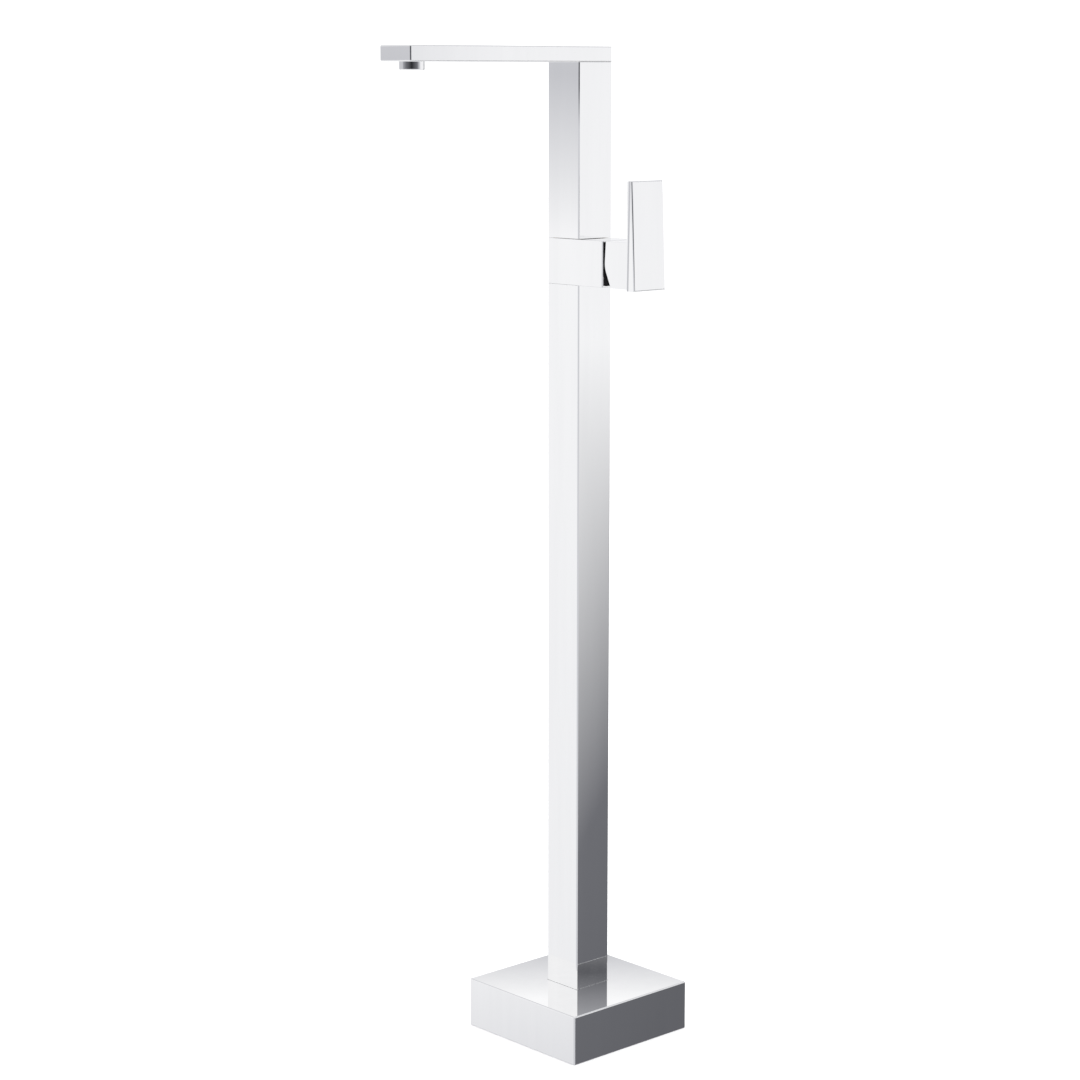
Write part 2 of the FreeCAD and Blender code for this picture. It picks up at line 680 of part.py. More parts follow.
def body_lock_screws():
    """Screws through the column's rear wall into the valve's plug."""
    body = new_body("body_lock_screws", z="valve_bottom")
    sketch = new_sketch(body, "XZ_Plane", out="-half")
    rear_screws(sketch, "0", "lock_radius")
    pad(body, sketch, "lock_length")


# ----------------------------------------------------------------- cartridge

def cartridge_part(label):
    """A body on the cartridge's axis, with +Y counted inwards from the front."""
    return new_body(label, y="-valve_reach", z="valve_middle")


def cartridge_base():
    body = cartridge_part("cartridge_base")
    sketch = new_sketch(body, "XZ_Plane", out="-bore_depth")
    circle(sketch, "0", "0", "cartridge_radius")
    port_circles(sketch, "waterway_radius")
    pad(body, sketch, "cartridge_base_height")
    seats = new_sketch(body, "XZ_Plane", out="-bore_depth")
    port_circles(seats, "waterway_radius + 2 * ring_section")
    pocket(body, seats, "ring_section + ring_clearance", along_normal=True)


def cartridge_port_seals():
    body = cartridge_part("cartridge_port_seals")
    sketch = new_sketch(body, "XZ_Plane", out="-bore_depth")
    port_circles(sketch, "waterway_radius + 2 * ring_section - ring_clearance")
    port_circles(sketch, "waterway_radius + ring_clearance")
    pad(body, sketch, "ring_section")


def cartridge_housing():
    body = cartridge_part("cartridge_housing")
    sketch = new_sketch(body, "YZ_Plane")
    outline(sketch, [
        ("base_depth", "chamber_radius"),
        ("base_depth", "cartridge_radius"),
        ("shoulder_depth", "cartridge_radius"),
        ("shoulder_depth", "neck_radius"),
        ("shoulder_depth - neck_length", "neck_radius"),
        ("shoulder_depth - neck_length", "carrier_radius + slip_clearance"),
        ("shoulder_depth + shoulder_height", "carrier_radius + slip_clearance"),
        ("shoulder_depth + shoulder_height", "chamber_radius"),
    ])
    turn(body, sketch, "H_Axis")


def fixed_disc():
    body = cartridge_part("fixed_disc")
    sketch = new_sketch(body, "XZ_Plane", out="-base_depth")
    circle(sketch, "0", "0", "chamber_radius - ring_clearance")
    port_circles(sketch, "waterway_radius")
    pad(body, sketch, "disc_thickness")


def moving_disc():
    """Ceramic disc whose blind hollow joins the ports when it slides up."""
    body = cartridge_part("moving_disc")
    sketch = new_sketch(body, "XZ_Plane", out="-slide_depth")
    circle(sketch, "0", "0", "disc_radius")
    pad(body, sketch, "disc_thickness")
    hollow = new_sketch(body, "XZ_Plane", out="-slide_depth")
    rectangle(hollow, "-inlet_port_side", "inlet_port_side",
              "-outlet_port_drop", "-waterway_radius / 2")
    pocket(body, hollow, "disc_thickness / 2", along_normal=True)


def disc_driver():
    """Driver that the lever's heel moves, flat where the carrier's lugs guide it."""
    body = cartridge_part("disc_driver")
    sketch = new_sketch(body, "XZ_Plane", out="-driver_depth")
    circle(sketch, "0", "0", "disc_radius")
    pad(body, sketch, "driver_height")
    flats = new_sketch(body, "XZ_Plane", out="-driver_depth")
    for side in ("-", ""):
        near, far = f"{side}driver_flat", f"{side}(disc_radius + slip_clearance)"
        left, right = (far, near) if side else (near, far)
        rectangle(flats, left, right, "-disc_radius", "disc_radius")
    pocket(body, flats, "driver_height", along_normal=True)
    socket = new_sketch(body, "XZ_Plane", out="driver_height - driver_depth")
    rectangle(socket, "-stem_width / 2 - heel_clearance", "stem_width / 2 + heel_clearance",
              "-heel_radius - heel_clearance", "heel_radius + heel_clearance")
    pocket(body, socket, "heel_depth + heel_radius + moving_clearance - driver_depth + driver_height")


def lever_carrier():
    """Turret that turns with the lever, slotted for its swing."""
    body = cartridge_part("lever_carrier")
    sketch = new_sketch(body, "YZ_Plane")
    top = "shoulder_depth - neck_length + slip_clearance"
    outline(sketch, [
        (top, "0"),
        (top, "carrier_radius"),
        ("flange_depth", "carrier_radius"),
        ("flange_depth", "carrier_flange"),
        ("flange_depth + carrier_flange_height", "carrier_flange"),
        ("flange_depth + carrier_flange_height", "0"),
    ])
    turn(body, sketch, "H_Axis")
    lugs = new_sketch(body, "XZ_Plane", out="-flange_depth - carrier_flange_height - carrier_lug")
    for side in ("-", ""):
        near, far = f"{side}(driver_flat + moving_clearance)", f"{side}carrier_lug_side"
        left, right = (far, near) if side else (near, far)
        rectangle(lugs, left, right, "-carrier_lug_width / 2", "carrier_lug_width / 2")
    pad(body, lugs, "carrier_lug")
    slot = new_sketch(body, "XZ_Plane", out="neck_length")
    rectangle(slot, "-stem_width / 2 - heel_clearance", "stem_width / 2 + heel_clearance",
              "-slot_half", "slot_half")
    pocket(body, slot, "neck_length + flange_depth + carrier_flange_height + carrier_lug")
    hole = new_sketch(body, "YZ_Plane")
    circle(hole, "pivot_depth", "0", "pin_radius + thread_clearance")
    pocket(body, hole, "pin_length + slip_clearance", both_sides=True)


def pivot_pin():
    body = cartridge_part("pivot_pin")
    sketch = new_sketch(body, "YZ_Plane")
    circle(sketch, "pivot_depth", "0", "pin_radius")
    pad(body, sketch, "pin_length", both_sides=True)


def lever_stem():
    """Flat steel lever: square outer end, narrow waist and round heel."""
    body = cartridge_part("lever_stem")
    sketch = new_sketch(body, "YZ_Plane")
    waist = "pivot_depth + heel_arm - heel_radius"
    outline(sketch, [
        ("-stem_reach", "-stem_width / 2"),
        ("pivot_depth + 2 * pin_radius", "-stem_width / 2"),
        (waist, "-heel_waist"),
        ("heel_depth", "-heel_waist"),
        ("heel_depth", "heel_waist"),
        (waist, "heel_waist"),
        ("pivot_depth + 2 * pin_radius", "stem_width / 2"),
        ("-stem_reach", "stem_width / 2"),
    ])
    circle(sketch, "pivot_depth", "0", "pin_radius + thread_clearance")
    pad(body, sketch, "stem_width", both_sides=True)
    heel = new_sketch(body, "YZ_Plane")
    circle(heel, "heel_depth", "0", "heel_radius")
    pad(body, heel, "stem_width", both_sides=True)


def retaining_nut():
    body = cartridge_part("retaining_nut")
    sketch = new_sketch(body, "YZ_Plane")
    rectangle(sketch, "nut_recess", "shoulder_depth", "neck_radius + slip_clearance", "cartridge_radius")
    turn(body, sketch, "H_Axis")
    keys = new_sketch(body, "XZ_Plane", out="-nut_recess")
    near, far, half_slot = "nut_key_radius", "(cartridge_radius + slip_clearance)", "nut_key_width / 2"
    rectangle(keys, near, far, "-" + half_slot, half_slot)
    rectangle(keys, "-" + far, "-" + near, "-" + half_slot, half_slot)
    rectangle(keys, "-" + half_slot, half_slot, near, far)
    rectangle(keys, "-" + half_slot, half_slot, "-" + far, "-" + near)
    pocket(body, keys, "nut_key_depth")


def cartridge_cover():
    """Dark cover on the housing's neck, spherical about the lever's pivot."""
    body = cartridge_part("cartridge_cover")
    sketch = new_sketch(body, "YZ_Plane")
    radius, pivot = size("cover_radius"), size("pivot_depth")
    low = FreeCAD.Vector(size("nut_recess"), size("neck_radius + ring_clearance"), 0)
    rim = FreeCAD.Vector(low.x, (radius ** 2 - (pivot - low.x) ** 2) ** 0.5, 0)
    mouth = size("cover_opening")
    nose = FreeCAD.Vector(pivot - (radius ** 2 - mouth ** 2) ** 0.5, mouth, 0)
    lip = FreeCAD.Vector(-size("cover_lip"), mouth, 0)
    step = FreeCAD.Vector(lip.x, low.y, 0)
    middle = (rim + nose) * 0.5 - FreeCAD.Vector(pivot, 0, 0)
    middle = FreeCAD.Vector(pivot, 0, 0) + middle.normalize() * radius
    sketch.addGeometry(Part.LineSegment(low, rim), False)
    sketch.addGeometry(Part.Arc(rim, middle, nose), False)
    sketch.addGeometry(Part.LineSegment(nose, lip), False)
    sketch.addGeometry(Part.LineSegment(lip, step), False)
    sketch.addGeometry(Part.LineSegment(step, low), False)
    sketch.addConstraint(Sketcher.Constraint("Coincident", 0, 2, 1, 1))
    sketch.addConstraint(Sketcher.Constraint("Coincident", 1, 2, 2, 1))
    for line in (2, 3):
        sketch.addConstraint(Sketcher.Constraint("Coincident", line, 2, line + 1, 1))
    sketch.addConstraint(Sketcher.Constraint("Coincident", 4, 2, 0, 1))
    sketch.addConstraint(Sketcher.Constraint("Vertical", 0))
    pin(sketch, 1, 3, "pivot_depth", "0")
    measure(sketch, "Radius", "cover_radius", 1)
    pin(sketch, 0, 1, "nut_recess", "neck_radius + ring_clearance")
    pin(sketch, 1, 2, None, "cover_opening")
    pin(sketch, 2, 2, "-cover_lip", "cover_opening")
    pin(sketch, 3, 2, "-cover_lip", "neck_radius + ring_clearance")
    turn(body, sketch, "H_Axis")


# --------------------------------------------------------------------- lever

def lever_handle():
    """Hub and plate in one casting, relieved so that it can tilt."""
    body = cartridge_part("lever_handle")
    side = new_sketch(body, "YZ_Plane")
    outline(side, [
        ("-lever_gap_top", "half_valve"),
        ("-lever_gap", "-relief_drop"),
        ("-lever_gap - relief_depth", "-half_valve"),
        ("-hub_length", "-half_valve"),
        ("-hub_length", "half_valve"),
    ])
    hub = pad(body, side, "column_width", both_sides=True)
    relief = size("lever_gap")
    round_edges(body, hub, "relief_round",
                lambda box: box.XLength > SAME and abs(box.YMax + relief) < SAME and box.ZLength < SAME)
    face = wedge(body, "plate_top", "plate_bottom", "column_width - 2 * ledge_width")
    front = SAME - size("hub_length + plate_top")
    round_edges(body, face, "edge_round", lambda box: box.YMax < front)
    wedge(body, "ledge_top", "ledge_bottom", "column_width")
    hollow = new_sketch(body, "YZ_Plane")
    reach = "cover_radius + cavity_clearance"
    item = arc(hollow, "pivot_depth", "0", reach, 0, math.pi)
    ends = [FreeCAD.Vector(size("pivot_depth") + sign * size(reach), 0, 0) for sign in (-1, 1)]
    line = hollow.addGeometry(Part.LineSegment(*ends), False)
    hollow.addConstraint(Sketcher.Constraint("Coincident", item, 2, line, 1))
    hollow.addConstraint(Sketcher.Constraint("Coincident", item, 1, line, 2))
    hollow.addConstraint(Sketcher.Constraint("PointOnObject", item, 1, -1))
    hollow.addConstraint(Sketcher.Constraint("PointOnObject", item, 2, -1))
    groove(body, hollow, "H_Axis")
    socket = new_sketch(body, "XZ_Plane")
    square(socket, "(stem_width / 2 + stem_clearance)")
    pocket(body, socket, "stem_reach + stem_clearance", along_normal=True)
    screw = new_sketch(body, "XY_Plane", out="-half_valve")
    circle(screw, "0", "-grub_reach", "grub_radius + thread_clearance")
    pocket(body, screw, "half_valve", along_normal=True)
    plug = new_sketch(body, "XY_Plane", out="-half_valve")
    circle(plug, "0", "-grub_reach", "plug_radius + thread_clearance")
    pocket(body, plug, "plug_depth", along_normal=True)


def wedge(body, top, bottom, width):
    """One layer of the lever's plate, thicker at one end than at the other."""
    profile = new_sketch(body, "YZ_Plane")
    outline(profile, [
        ("-hub_length", "plate_low"),
        ("-hub_length", "plate_low + plate_height"),
        (f"-hub_length - {top}", "plate_low + plate_height"),
        (f"-hub_length - {bottom}", "plate_low"),
    ])
    return pad(body, profile, width, both_sides=True)


def handle_grub_screw():
    body = cartridge_part("handle_grub_screw")
    sketch = new_sketch(body, "XY_Plane", out="-stem_width / 2 - grub_length")
    circle(sketch, "0", "-grub_reach", "grub_radius")
    pad(body, sketch, "grub_length")


def handle_plug():
    body = cartridge_part("handle_plug")
    sketch = new_sketch(body, "XY_Plane", out="-half_valve")
    circle(sketch, "0", "-grub_reach", "plug_radius")
    pad(body, sketch, "plug_depth")


# --------------------------------------------------------------------- spout

def spout_part(label, x="0"):
    """A body whose origin is on the column's axis at the valve's top."""
    return new_body(label, x=x, z="valve_top")


def outlet_nipple():
    """Threaded nipple that the riser turns on, with two seals and a stop groove."""
    body = spout_part("outlet_nipple")
    sketch = new_sketch(body, "XZ_Plane")
    outline(sketch, [
        ("nipple_bore", "-outlet_thread"),
        ("outlet_radius", "-outlet_thread"),
        ("outlet_radius", "0"),
        ("swivel_radius", "0"),
        ("swivel_radius", "swivel_length"),
        ("nipple_bore", "swivel_length"),
    ])
    turn(body, sketch, "V_Axis")
    for level in ("nipple_ring_low", "nipple_ring_high"):
        seat = new_sketch(body, "XZ_Plane")
        depth = "swivel_radius + ring_clearance - 2 * nipple_ring_section - 2 * ring_clearance"
        reach = "(nipple_ring_section + ring_clearance)"
        rectangle(seat, depth, "swivel_radius + slip_clearance", f"{level} - {reach}", f"{level} + {reach}")
        groove(body, seat, "V_Axis")
    stop = new_sketch(body, "YZ_Plane")
    rectangle(stop, "stop_groove_radius", "swivel_radius + slip_clearance",
              "stop_height - stop_tip_radius - moving_clearance",
              "stop_height + stop_tip_radius + moving_clearance")
    groove(body, stop, "V_Axis", "stop_swing")


def swivel_washer():
    body = spout_part("swivel_washer")
    sketch = new_sketch(body, "XY_Plane", out="-washer_depth")
    circle(sketch, "0", "0", "washer_radius")
    circle(sketch, "0", "0", "swivel_radius + slip_clearance")
    pad(body, sketch, "washer_depth + washer_rise")


def riser_socket():
    """Square plug in the riser's foot, bored for the nipple."""
    body = spout_part("riser_socket")
    sketch = new_sketch(body, "XY_Plane", out="seam_gap")
    square(sketch, "plug_half")
    circle(sketch, "0", "0", "nipple_bore")
    pad(body, sketch, "socket_top - seam_gap")
    bore = new_sketch(body, "XY_Plane")
    circle(bore, "0", "0", "swivel_radius + swivel_clearance")
    pocket(body, bore, "swivel_length + moving_clearance", along_normal=True)
    screw = new_sketch(body, "XZ_Plane", out="-plug_half")
    circle(screw, "0", "stop_height", "lock_radius + thread_clearance")
    pocket(body, screw, "plug_half - nipple_bore", along_normal=True)


def swivel_stop_screw():
    """Screw from the rear whose tip runs in the nipple's groove."""
    body = spout_part("swivel_stop_screw")
    sketch = new_sketch(body, "XZ_Plane", out="-half")
    circle(sketch, "0", "stop_height", "lock_radius")
    pad(body, sketch, "half - swivel_radius - moving_clearance")
    tip = new_sketch(body, "XZ_Plane", out="-half")
    circle(tip, "0", "stop_height", "stop_tip_radius")
    pad(body, tip, "half - stop_groove_radius - moving_clearance")


def spout_riser():
    body = spout_part("spout_riser")
    sketch = new_sketch(body, "XY_Plane", out="seam_gap")
    square(sketch, "half")
    tube = pad(body, sketch, "riser_length - seam_gap")
    round_edges(body, tube, "edge_round", upright)
    bore = new_sketch(body, "XY_Plane")
    square(bore, "inner_half")
    pocket(body, bore, "riser_length", along_normal=True)
    hole = new_sketch(body, "XZ_Plane", out="-inner_half")
    circle(hole, "0", "stop_height", "lock_radius + thread_clearance")
    pocket(body, hole, "2 * column_wall")


def spout_arm():
    """Flat hollow arm with its floor open to the riser and bossed for the aerator."""
    body = spout_part("spout_arm")
    sketch = new_sketch(body, "XY_Plane", out="riser_length")
    rectangle(sketch, "-arm_reach", "half", "-half", "half")
    block = pad(body, sketch, "arm_thickness")
    round_edges(body, block, "edge_round", every_edge)
    hollow = new_sketch(body, "XY_Plane", out="riser_length + arm_wall")
    rectangle(hollow, "arm_wall - arm_reach", "inner_half", "-inner_half", "inner_half")
    pocket(body, hollow, "arm_thickness - arm_wall - column_wall", along_normal=True)
    boss = new_sketch(body, "XY_Plane", out="riser_length + arm_wall")
    circle(boss, "aerator_place", "0", "aerator_thread + boss_wall")
    pad(body, boss, "aerator_entry - arm_wall + slip_clearance")
    thread = new_sketch(body, "XY_Plane", out="riser_length")
    circle(thread, "aerator_place", "0", "aerator_thread + thread_clearance")
    pocket(body, thread, "aerator_entry + slip_clearance", along_normal=True)
    inlet = new_sketch(body, "XY_Plane", out="riser_length")
    square(inlet, "(inner_half - arm_wall)")
    pocket(body, inlet, "arm_wall", along_normal=True)


def aerator_part(label):
    return new_body(label, x="aerator_place", z="valve_top + riser_length")


def aerator_housing():
    body = aerator_part("aerator_housing")
    sketch = new_sketch(body, "XZ_Plane")
    outline(sketch, [
        ("aerator_bore", "-aerator_drop"),
        ("aerator_radius - aerator_taper", "-aerator_drop"),
        ("aerator_radius", "0"),
        ("aerator_thread", "0"),
        ("aerator_thread", "aerator_entry"),
        ("aerator_bore", "aerator_entry"),
    ])
    turn(body, sketch, "V_Axis")


def aerator_insert():
    """Plastic insert with a ring of holes round a middle one."""
    body = aerator_part("aerator_insert")
    sketch = new_sketch(body, "XY_Plane", out="insert_recess - aerator_drop")
    circle(sketch, "0", "0", "aerator_bore - slip_clearance")
    circle(sketch, "0", "0", "insert_hole")
    pad(body, sketch, "insert_height")
    hole = new_sketch(body, "XY_Plane", out="insert_recess - aerator_drop")
    circle(hole, "insert_circle", "0", "insert_hole")
    cut = pocket(body, hole, "insert_height", along_normal=True)
    copies = body.newObject("PartDesign::PolarPattern", "aerator_insert_pattern")
    copies.Originals = [cut]
    copies.Axis = (hole, ["N_Axis"])
    copies.Angle = 360
    bind(copies, "Occurrences", "insert_count")
    body.Tip = copies
    doc.recompute()


def aerator_washer():
    body = aerator_part("aerator_washer")
    sketch = new_sketch(body, "XY_Plane", out="insert_recess - aerator_drop + insert_height")
    circle(sketch, "0", "0", "aerator_bore - slip_clearance")
    circle(sketch, "0", "0", "insert_circle + 2 * insert_hole - slip_clearance")
    pad(body, sketch, "insert_washer")


# --------------------------------------------------------------------- build

floor_gasket()
floor_flange()
column_socket()
socket_bolts()
column_clamp_screws()
column_tube()
supply_pipe("hot_supply_pipe", "-")
supply_pipe("cold_supply_pipe", "")
inlet_tail("hot_inlet_tail", "-")
inlet_tail("cold_inlet_tail", "")
pipe_spacers()
base_cover()
cover_seal()
valve_body()
seal_rings("pipe_seals", [("-pipe_spacing / 2", "-ring_depth"), ("pipe_spacing / 2", "-ring_depth")],
           "pipe_radius", "ring_section", "valve_bottom")
body_lock_screws()
cartridge_base()
cartridge_port_seals()
cartridge_housing()
fixed_disc()
moving_disc()
disc_driver()
lever_carrier()
pivot_pin()
lever_stem()
retaining_nut()
cartridge_cover()
lever_handle()
handle_grub_screw()
handle_plug()
outlet_nipple()
seal_rings("nipple_seals", [("0", "nipple_ring_low"), ("0", "nipple_ring_high")],
           "(swivel_radius - 2 * nipple_ring_section - ring_clearance)", "nipple_ring_section", "valve_top")
swivel_washer()
riser_socket()
swivel_stop_screw()
spout_riser()
spout_arm()
aerator_housing()
aerator_insert()
aerator_washer()

doc.recompute()
failed = [item.Name for item in doc.Objects if "Invalid" in item.State or "Error" in item.State]
if failed:
    raise ValueError(f"failed objects: {failed}")
for part in SUB_PARTS:
    if part.Shape.isNull() or not part.Shape.isValid():
        raise ValueError(f"{part.Label} has no valid shape")

os.makedirs("parts", exist_ok=True)
for part in SUB_PARTS:
    part.Shape.exportStep(f"parts/{part.Label}.step")
    print(part.Label, len(part.Shape.Solids), round(part.Shape.Volume, 1))
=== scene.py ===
import json
import math

import bmesh
import bpy
from mathutils import Matrix, Vector


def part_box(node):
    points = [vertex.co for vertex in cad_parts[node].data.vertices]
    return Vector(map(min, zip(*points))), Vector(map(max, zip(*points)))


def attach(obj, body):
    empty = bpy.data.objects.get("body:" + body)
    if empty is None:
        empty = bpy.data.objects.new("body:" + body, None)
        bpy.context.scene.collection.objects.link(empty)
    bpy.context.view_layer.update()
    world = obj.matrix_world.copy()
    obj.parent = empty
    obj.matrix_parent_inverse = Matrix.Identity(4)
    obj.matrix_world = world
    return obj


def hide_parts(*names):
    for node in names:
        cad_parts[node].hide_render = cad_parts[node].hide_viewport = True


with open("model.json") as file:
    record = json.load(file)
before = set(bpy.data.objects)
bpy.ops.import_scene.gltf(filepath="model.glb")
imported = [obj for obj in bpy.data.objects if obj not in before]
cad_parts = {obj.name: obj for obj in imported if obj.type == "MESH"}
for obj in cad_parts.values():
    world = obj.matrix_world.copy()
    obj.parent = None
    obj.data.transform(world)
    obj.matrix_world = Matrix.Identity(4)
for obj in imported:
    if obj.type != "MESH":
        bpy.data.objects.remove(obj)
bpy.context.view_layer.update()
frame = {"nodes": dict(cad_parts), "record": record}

MM = 0.001
NODES = frame["nodes"]
SCENE = bpy.context.scene

# ------------------------------------------------------------------- camera

# the view that was fitted to the photo's edges; the sensor is in millimetres, the angles in degrees
PICTURE_SIDE = 1080
SENSOR = 36.0
FOCAL_PIXELS = 2643.74
CAMERA_AT = (-1.79858, -1.90115, 0.97448)
PITCH, ROLL, YAW = 10.0155, -0.0087, 42.5566
CLIP_END = 50


def add_camera():
    data = bpy.data.cameras.new("camera")
    data.sensor_width = SENSOR
    data.lens = FOCAL_PIXELS / PICTURE_SIDE * SENSOR
    data.clip_end = CLIP_END
    camera = bpy.data.objects.new("camera", data)
    camera.location = CAMERA_AT
    camera.rotation_euler = [math.radians(angle) for angle in (90 - PITCH, ROLL, -YAW)]
    SCENE.collection.objects.link(camera)
    SCENE.camera = camera


# -------------------------------------------------------------- node helpers

# sockets of a Mix node for colours, by number, because their names repeat
MIX_FACTOR, MIX_FIRST, MIX_SECOND, MIX_RESULT = 0, 6, 7, 2


class Tree:
    """Short calls for adding linked nodes to a node tree."""

    def __init__(self, tree):
        self.nodes = tree.nodes
        self.links = tree.links
        self.nodes.clear()

    def add(self, kind, inputs=(), **settings):
        """A node with its settings, whose inputs are linked or set to constants."""
        node = self.nodes.new("ShaderNode" + kind)
        for name, value in settings.items():
            setattr(node, name, value)
        for name, value in dict(inputs).items():
            if isinstance(value, bpy.types.NodeSocket):
                self.links.new(value, node.inputs[name])
            else:
                node.inputs[name].default_value = value
        return node

    def maths(self, operation, *values, clamp=False):
        node = self.add("Math", enumerate(values), operation=operation, use_clamp=clamp)
        return node.outputs[0]

    def dot(self, vector, direction):
        node = self.add("VectorMath", {0: vector, 1: direction}, operation="DOT_PRODUCT")
        return node.outputs["Value"]

    def remap(self, value, low, high, to_low=0.0, to_high=1.0, smooth=False):
        node = self.add("MapRange", {"Value": value, "From Min": low, "From Max": high,
                                     "To Min": to_low, "To Max": to_high})
        if smooth:
            node.interpolation_type = "SMOOTHSTEP"
        return node.outputs["Result"]

    def fade(self, value, start, end):
        """A smooth step from 0 at the start to 1 at the end."""
        return self.remap(value, start, end, smooth=True)

    def zone(self, value, rise, fall):
        """1 between the two fades and 0 beyond them."""
        return self.maths("MULTIPLY", self.fade(value, *rise), self.fade(value, *fall))

    def mix(self, factor, first, second):
        inputs = {MIX_FACTOR: factor, MIX_FIRST: first, MIX_SECOND: second}
        return self.add("Mix", inputs, data_type="RGBA").outputs[MIX_RESULT]

    def levels(self, value, levels):
        """A grey ramp through (value, brightness) pairs, bluer where it is darker."""
        low, high = levels[0][0], levels[-1][0]
        node = self.add("ValToRGB", {"Fac": self.remap(value, low, high)})
        band = node.color_ramp
        while len(band.elements) < len(levels):
            band.elements.new(0.5)
        for element, (place, level) in zip(band.elements, levels):
            element.position = (place - low) / (high - low)
            element.color = studio_grey(level)
        return node.outputs["Color"]

    def noise(self, where, scale, detail=3.0, roughness=0.5):
        return self.add("TexNoise", {"Vector": where, "Scale": scale, "Detail": detail,
                                     "Roughness": roughness}).outputs["Fac"]

    def stretched(self, where, scale):
        return self.add("Mapping", {"Vector": where, "Scale": scale}).outputs["Vector"]


# ------------------------------------------------------------- surroundings

# the strength of what chrome mirrors, and of the plain white light that falls on everything
ENV_GAIN = 1.12
PLAIN_STRENGTH = 1.2
GREEN_TINT, BLUE_TINT = 0.02, 0.14

# horizontal directions: the faced side, between those that the spout and the lever point to, the
# side to the right of it in the photo, and across what the right-hand faces mirror
FACED_SIDE = (-0.676, -0.737, 0)
RIGHT_SIDE = (0.737, -0.676, 0)
RIGHT_TANGENT = (0.7236, 0.690, 0)

# a few round levels of brightness by the height of the direction: left, right and on the far side
LEFT_LEVELS = [(-0.4, 0.6), (-0.33, 0.85), (-0.06, 0.9), (0.0, 0.55), (0.15, 0.95)]
RIGHT_LEVELS = [(-0.4, 0.12), (-0.28, 0.15), (-0.1, 0.9), (0.15, 0.85)]
FAR_LEVELS = [(-0.4, 0.55), (0.0, 0.8), (0.2, 0.9)]
# the same below them, above them on the far side and on the right, and overhead
FLOOR_LEVELS = [(-1.0, 0.6), (-0.5, 0.95)]
FAR_UP_LEVELS = [(0.28, 0.95), (0.32, 0.5), (0.34, 0.95), (0.4, 0.95)]
RIGHT_UP_LEVELS = [(0.28, 0.9), (0.33, 0.1), (0.36, 0.6), (0.4, 0.95)]
OVERHEAD_LEVELS = [(0.0, 0.95), (0.42, 0.96), (0.6, 0.55), (0.85, 0.8), (1.0, 0.95)]
# the same by the turn from the faced side, in degrees: dark in the middle
FACED_LEVELS = [(-90, 0.4), (-50, 0.15), (0, 0.02), (50, 0.15), (80, 0.7)]
# the faced side is dark only in a strip: the height of the strip's middle, how far from that it
# starts and ends to fade, and the level above and below it
STRIP_HEIGHT = 0.005
STRIP_EDGES = (0.01, 0.025)
FACED_REST = 0.6

# where one part fades into the next, by the turn in degrees
LEFT_TO_RIGHT = (-35, 35)
FACED_RISE, FACED_FALL = (-91, -82), (85, 80)
RIGHT_RISE, RIGHT_FALL = (55, 70), (120, 105)
TO_FAR = (150, 170)
# and by the height
TO_ABOVE = (0.2, 0.285)
TO_OVERHEAD = (0.40, 0.44)
TO_FLOOR = (-0.45, -0.6)
# the slant of the right-hand levels: the shift in height by the place across, and where it fades in
SLANT = (-0.05, 0.05, -0.1, 0.1)
TO_SLANT = (-0.1, -0.2)


def studio_grey(level):
    """A grey of the studio, neutral where it is bright and bluish where it is dark."""
    shade = 1 - level
    return level, level * (1 + GREEN_TINT * shade), level * (1 + BLUE_TINT * shade), 1


def add_surroundings():
    """A soft white studio for chrome to mirror, darker low on the right and on the faced side."""
    world = bpy.data.worlds.new("studio")
    world.use_nodes = True
    SCENE.world = world
    t = Tree(world.node_tree)
    where = t.add("TexCoord").outputs["Generated"]
    height = t.add("SeparateXYZ", {0: where}).outputs["Z"]
    turn = t.maths("ARCTAN2", t.dot(where, RIGHT_SIDE), t.dot(where, FACED_SIDE))
    degrees = t.maths("DEGREES", turn)
    far = t.fade(t.maths("ABSOLUTE", degrees), *TO_FAR)

    left = t.levels(height, LEFT_LEVELS)
    across = t.remap(t.dot(where, RIGHT_TANGENT), *SLANT)
    lean = t.maths("MULTIPLY", across, t.fade(height, *TO_SLANT))
    right = t.levels(t.maths("SUBTRACT", height, lean), RIGHT_LEVELS)
    from_strip = t.maths("ABSOLUTE", t.maths("SUBTRACT", height, STRIP_HEIGHT))
    faced = t.mix(t.remap(from_strip, *STRIP_EDGES), t.levels(degrees, FACED_LEVELS),
                  studio_grey(FACED_REST))
    sides = t.mix(t.fade(degrees, *LEFT_TO_RIGHT), left, right)
    sides = t.mix(t.zone(degrees, FACED_RISE, FACED_FALL), sides, faced)
    sides = t.mix(far, sides, t.levels(height, FAR_LEVELS))

    overhead = t.levels(height, OVERHEAD_LEVELS)
    above = t.mix(far, overhead, t.levels(height, FAR_UP_LEVELS))
    above = t.mix(t.zone(degrees, RIGHT_RISE, RIGHT_FALL), above, t.levels(height, RIGHT_UP_LEVELS))
    above = t.mix(t.fade(height, *TO_OVERHEAD), above, overhead)

    sphere = t.mix(t.fade(height, *TO_ABOVE), sides, above)
    sphere = t.mix(t.fade(height, *TO_FLOOR), sphere, t.levels(height, FLOOR_LEVELS))

    mirrored = t.add("Background", {"Color": sphere, "Strength": ENV_GAIN}).outputs[0]
    plain = t.add("Background", {"Color": (1, 1, 1, 1), "Strength": PLAIN_STRENGTH}).outputs[0]
    glossy = t.add("LightPath").outputs["Is Glossy Ray"]
    shader = t.add("MixShader", {0: glossy, 1: plain, 2: mirrored}).outputs[0]
    t.add("OutputWorld", {"Surface": shader})


